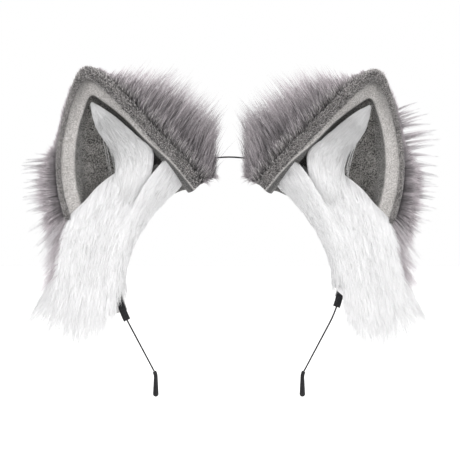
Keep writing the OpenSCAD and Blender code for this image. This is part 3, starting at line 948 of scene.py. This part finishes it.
class EARS_OT_back_fur(bpy.types.Operator):
    """Make the grey fur on the back of each ear, its backing and its loose outer locks"""

    bl_idname = "ears.back_fur"
    bl_label = "Back fur"

    def execute(self, context):
        size = context.scene.ears_size
        for side, rng in sides(seed=300):
            def skin(s, t):
                u, v = spoke(s, t)
                return side.put(on_skin(u, np.minimum(v, NEAR_TIP))[0])

            bm, _ = cloth_grid(120, 36, skin, facing=(0, 1, 0))
            pelt = finish_piece(bm, side, "pelt", "pelt", "back_fur")
            thicken(pelt, -PELT_THICK)

            for part, low, high, comb, count, tuft in (
                ("outer", 0.02, 0.5, outer_ways, size.outer_hairs, 12),
                ("crown", 0.5, 0.975, crown_ways, size.crown_hairs, 9),
            ):
                u, v = back_roots(count, low, high, rng)
                if part == "outer":
                    at_edge = rng.uniform(0, 1, len(u)) < 0.3 * ramp(v, 0.85, 0.6)
                    u = np.where(at_edge, rng.uniform(0.02, 0.14, len(u)), u)
                ways = comb(u, v, size.back_length, rng)
                light = 0.34 + 0.42 * ramp(v, 0.2, 0.75) + 0.24 * ramp(u, 0.5, 0.1)
                if part == "crown":
                    keep = rng.uniform(0, 1, len(u)) > 0.6 * ramp(v, 0.5, 0.85)
                    from_roll, t = roll_ways(size.roll_hairs, rng)
                    hem = hem_ways(size.roll_hairs // 4, rng)
                    ways = np.concatenate((ways[keep], from_roll, hem))
                    light = np.concatenate((
                        light[keep], 0.5 + 0.25 * ramp(t, 0.85, 0.6), np.full(len(hem), 0.45)))
                ways, lock = into_locks(ways, tuft, 0.5, rng)
                tone = lock_tone(lock, 0.15, light, rng)
                thick = rng.uniform(*BACK_THICK, len(ways)) * MM
                grow_hair(side, f"{part}_fur", ways, thick, tone, "back_fur")
            self.guard_hair(side, size, rng)
        return {"FINISHED"}

    def guard_hair(self, side, size, rng):
        """Long thin locks that stand out from the outer side, and hang beside the temple fur."""
        locks, each = 46, 22
        top = 0.42 if side.flip else 0.68
        lv = np.linspace(0.0, top, locks) + rng.normal(0, 0.012, locks)
        lu = rng.uniform(0.08, 0.26, locks)
        spread = rng.normal(0, 0.009, (locks, each, 2))
        u = np.clip(lu[:, None] + spread[..., 0], 0.03, 0.4).reshape(-1)
        v = np.clip(lv[:, None] + spread[..., 1], 0.0, 0.9).reshape(-1)
        root, _ = on_skin(u, v)
        z = root[:, 2]
        rise = 0.5 * ramp(z, 55 * MM, 115 * MM) - 1.1 * ramp(z, 45 * MM, 22 * MM)
        swing = np.repeat(rng.normal(0, 0.09, (locks, 3)), each, axis=0)
        lie = unit(np.stack((np.ones_like(z), 0.05 + 0 * z, rise), axis=1) + swing)
        reach = size.guard_length * np.repeat(rng.uniform(0.62, 1.0, locks), each)
        reach = reach * (1 - 0.25 * ramp(z, 80 * MM, 110 * MM)) * rng.uniform(0.8, 1.05, locks * each)

        hang = 420
        s, t = rng.uniform(0.88, 1.0, hang), rng.uniform(-0.1, 0.62, hang)
        low_root = temple_place(s, t, np.ones(hang))
        low_lie = unit(np.array((0.66, 0.0, -0.8)) + rng.normal(0, 0.16, (hang, 3)))
        low_reach = size.guard_length * rng.uniform(0.45, 1.0, hang)

        ways = [combed(base, way, far[:, None], shares=(0.3, 0.68), end=-UP * far[:, None] * 0.06)
                for base, way, far in ((root, lie, reach), (low_root, low_lie, low_reach))]
        lead = np.repeat(ways[0].reshape(locks, each, 4, 3).mean(1), each, axis=0)
        for j, share in ((1, 0.25), (2, 0.6), (3, 0.92)):
            ways[0][:, j] += (lead[:, j] - ways[0][:, j]) * share
        ways[1], _ = into_locks(ways[1], 12, 0.6, rng)
        tone = np.concatenate((
            np.repeat(rng.normal(0.45, 0.18, locks), each) + rng.normal(0, 0.08, locks * each),
            np.clip(0.35 + 1.1 * t, 0, 1) + rng.normal(0, 0.2, hang)))
        grow_hair(side, "guard_hair", np.concatenate(ways), GUARD_THICK * MM, tone, "guard",
                  rings=4, fine=0.7)


# ---- white fur

# Edges of the tuft from under the tip down, as shares of the ear's width, forward reach and height
TUFT_OUTER = np.array([
    (0.782, 0.2, 0.775), (0.73, 0.25, 0.605), (0.635, 0.25, 0.48), (0.59, 0.3, 0.347), (0.64, 0.28, 0.17),
    (0.72, 0.24, -0.03)])
TUFT_INNER = np.array([
    (0.767, 0.25, 0.794), (0.6, 0.4, 0.69), (0.44, 0.55, 0.555), (0.325, 0.6, 0.445), (0.38, 0.32, 0.2),
    (0.5, 0.24, -0.03)])
TUFT_BULGE = 4.5 * MM

# Top and bottom edges of the temple fur from its inner to its outer side, in arch radii
TEMPLE_TOP = np.array([
    (0.38, 0.775), (0.464, 0.878), (0.565, 0.955), (0.712, 0.775), (0.80, 0.9), (0.94, 0.89), (1.14, 0.75),
    (1.262, 0.615), (1.385, 0.5), (1.46, 0.39)])
TEMPLE_FOOT = np.array([
    (0.905, -0.24), (0.955, -0.33), (1.02, -0.4), (1.1, -0.46), (1.18, -0.5), (1.26, -0.51), (1.35, -0.49),
    (1.44, -0.43), (1.53, -0.34), (1.58, -0.2)])
TEMPLE_BOW = 13 * MM
# How far down the tuft and the temple fur their cloth backings go
TUFT_BACKING, TEMPLE_BACKING = 0.74, 0.86


def tuft_place(s, t, front):
    """s goes across from the outer edge to the inner one, t down; front is 1 on the face, 0 on the back."""
    a, b = along(TUFT_OUTER, t), along(TUFT_INNER, t)
    p = a + (b - a) * s[:, None]
    p = in_ear(p[:, 0], p[:, 1], p[:, 2])
    puff = np.sin(np.pi * np.clip(s, 0, 1)) ** 0.6 * (0.35 + 0.65 * np.sin(np.pi * np.clip(t, 0.05, 0.6)))
    puff = puff * (1 - 0.7 * ramp(t, 0.55, 0.9))
    p[:, 1] -= np.where(front > 0.5, TUFT_BULGE, -1.5 * MM) * puff
    return p


def temple_place(s, t, front):
    """s goes from the inner edge to the outer one, t down."""
    top, foot = along(TEMPLE_TOP, s) * ARCH_R, along(TEMPLE_FOOT, s) * ARCH_R
    p = top + (foot - top) * t[:, None]
    bow = TEMPLE_BOW * np.maximum(1 - s, 0) ** 1.4 * 4 * t * (1 - t)
    puff = np.sin(np.pi * np.clip(s, 0, 1)) ** 0.6 * (1 - 0.3 * np.clip(t, 0, 1))
    inside = ramp(s, 0.22, 0.36)
    puff = puff * (1 - inside * ramp(t, 0.4, 0.0) * 0.5)
    under_rim = 9 * MM * ramp(t, 0.4, 0.0) * (1 - inside)
    y = np.where(front > 0.5, -(2.2 * MM + 7.5 * MM * puff + under_rim), 1.15 * MM - under_rim)
    return np.stack((p[:, 0] + bow, y, p[:, 1]), axis=1)


def lens_place(side, place, length):
    """place for cloth_grid: front and back of a patch, down to length, as one closed tube."""
    def ring(s, t):
        s = np.where(s > 0.9999, 0.0, s)
        front = (s < 0.5).astype(float)
        across = np.where(s < 0.5, 2 * s, 2 - 2 * s)
        return side.put(place(across, t * length, front))
    return ring


def patch_ways(place, s, t, drift, reach, lift, rng, jitter):
    """Hairs combed down a patch: each follows it for reach and stands off it by lift."""
    n = len(s)
    ones = np.ones(n)
    e = 0.02
    a = place(s, t + e, ones) - place(s, t - e, ones)
    speed = np.maximum(np.linalg.norm(a, axis=1), 1e-6) / (2 * e)
    b = place(np.minimum(s + e, 1), t, ones) - place(np.maximum(s - e, 0), t, ones)
    out = unit(np.cross(a, b))
    out = np.where(out[:, 1:2] > 0, -out, out)
    ways = []
    for share, off in ((0.0, 0.0), (0.33, 0.8), (0.67, 1.0), (1.0, 0.55)):
        p = place(s + drift * share, t + reach * share / speed, ones)
        ways.append(p + out * (lift * off)[:, None] + rng.normal(0, 1, (n, 3)) * jitter * share)
    return np.stack(ways, axis=1)


class EARS_OT_tufts(bpy.types.Operator):
    """Make the white leaf-shaped tuft inside each ear"""

    bl_idname = "ears.tufts"
    bl_label = "Inner tufts"

    def execute(self, context):
        size = context.scene.ears_size
        for side, rng in sides(seed=400):
            bm, _ = cloth_grid(40, 40, lens_place(side, tuft_place, TUFT_BACKING), wrap=True)
            finish_piece(bm, side, "tuft_skin", "white_skin", "inner_tuft")
            n = size.tuft_hairs
            s, t = rng.uniform(0.0, 1.0, n), rng.uniform(-0.01, 0.76, n)
            reach = rng.uniform(8, 15, n) * (1 + 0.7 * ramp(t, 0.4, 0.7)) * MM
            lift = rng.uniform(0.1, 1.0, n) * MM
            ways = patch_ways(tuft_place, s, t, (0.4 - s) * 0.08, reach, lift, rng, 0.4 * MM)
            ways, lock = into_locks(ways, 8, 0.25, rng)
            # The tuft's tone is darker towards its top, under the ear's tip inside the cup: painted shade.
            tone = lock_tone(lock, 0.08, 0.1 + 0.75 * ramp(t, 0.15, 0.62), rng)
            thick = rng.uniform(*TUFT_THICK, n) * MM
            grow_hair(side, "tuft_fur", ways, thick, tone, "tuft_fur")
        return {"FINISHED"}


class EARS_OT_temples(bpy.types.Operator):
    """Make the long white fur over each temple"""

    bl_idname = "ears.temples"
    bl_label = "Temple fur"

    def execute(self, context):
        size = context.scene.ears_size
        for side, rng in sides(seed=500):
            bm, _ = cloth_grid(48, 48, lens_place(side, temple_place, TEMPLE_BACKING), wrap=True)
            finish_piece(bm, side, "temple_skin", "white_skin", "temple_fur")
            n = size.temple_hairs
            s, t = rng.uniform(0.0, 1.0, n), rng.uniform(0.0, 0.9, n) ** 1.1
            reach = size.temple_length * rng.uniform(0.45, 1.1, n) * (1 - 0.45 * ramp(s, 0.25, 0.0))
            low = ramp(t, 0.55, 0.88) * ramp(s, 0.15, 0.4)
            reach = reach * (1 + 0.25 * low) * np.where(rng.uniform(0, 1, n) > 0.86, 1 + 0.75 * low, 1.0)
            lift = rng.uniform(0.2, 1.8, n) * MM
            ways = patch_ways(temple_place, s, t, (s - 0.45) * 0.05, reach, lift, rng, 0.6 * MM)
            sway = reach * (0.3 * ramp(s, 0.7, 1.0) + 0.12) * ramp(t, 0.3, 0.9)
            ways[:, :, 0] += sway[:, None] * np.array((0, 0.1, 0.45, 1.0)) * ramp(s, 0.1, 0.35)[:, None]
            ways, lock = into_locks(ways, 10, 0.35, rng)
            # The temple fur is painted greyer towards its inner edge, where the strip turns round: painted
            # shade.
            tone = lock_tone(lock, 0.07, 0.78 - 0.5 * ramp(s, 0.3, 0.0), rng)
            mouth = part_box(f"{side.name}_wire_sleeve")[0].z + rng.uniform(9, 14, (n, 1)) * MM
            over_sleeve = np.hypot(ways[..., 0], ways[..., 2]) < ARCH_R + 2.6 * MM
            keep = ~(over_sleeve & (ways[..., 2] < mouth)).any(axis=1)
            thick = rng.uniform(*TEMPLE_THICK, keep.sum()) * MM
            grow_hair(side, "temple_hair", ways[keep], thick, tone[keep], "white_fur")
        return {"FINISHED"}


# ---- panel and registering

OPERATORS = (
    EARS_OT_stage, EARS_OT_hardware, EARS_OT_rims, EARS_OT_linings, EARS_OT_back_fur, EARS_OT_tufts,
    EARS_OT_temples,
)


class EARS_PT_panel(bpy.types.Panel):
    """Sizes, colours and the pieces in their order"""

    bl_label = "Animal Ears Headband"
    bl_idname = "EARS_PT_panel"
    bl_space_type = "VIEW_3D"
    bl_region_type = "UI"
    bl_category = "Ears"

    def draw(self, context):
        for settings in (context.scene.ears_size, context.scene.ears_look):
            for name in settings.__annotations__:
                self.layout.prop(settings, name)
        for operator in OPERATORS:
            self.layout.operator(operator.bl_idname)


CLASSES = (EarsSize, EarsLook, *OPERATORS, EARS_PT_panel)


def register():
    for cls in CLASSES:
        bpy.utils.register_class(cls)
    bpy.types.Scene.ears_size = bpy.props.PointerProperty(type=EarsSize)
    bpy.types.Scene.ears_look = bpy.props.PointerProperty(type=EarsLook)


def unregister():
    del bpy.types.Scene.ears_look
    del bpy.types.Scene.ears_size
    for cls in reversed(CLASSES):
        bpy.utils.unregister_class(cls)


def main():
    register()
    bpy.ops.ears.stage()
    bpy.ops.ears.hardware()
    bpy.ops.ears.rims()
    bpy.ops.ears.linings()
    bpy.ops.ears.back_fur()
    bpy.ops.ears.tufts()
    bpy.ops.ears.temples()


if __name__ == "__main__":
    main()
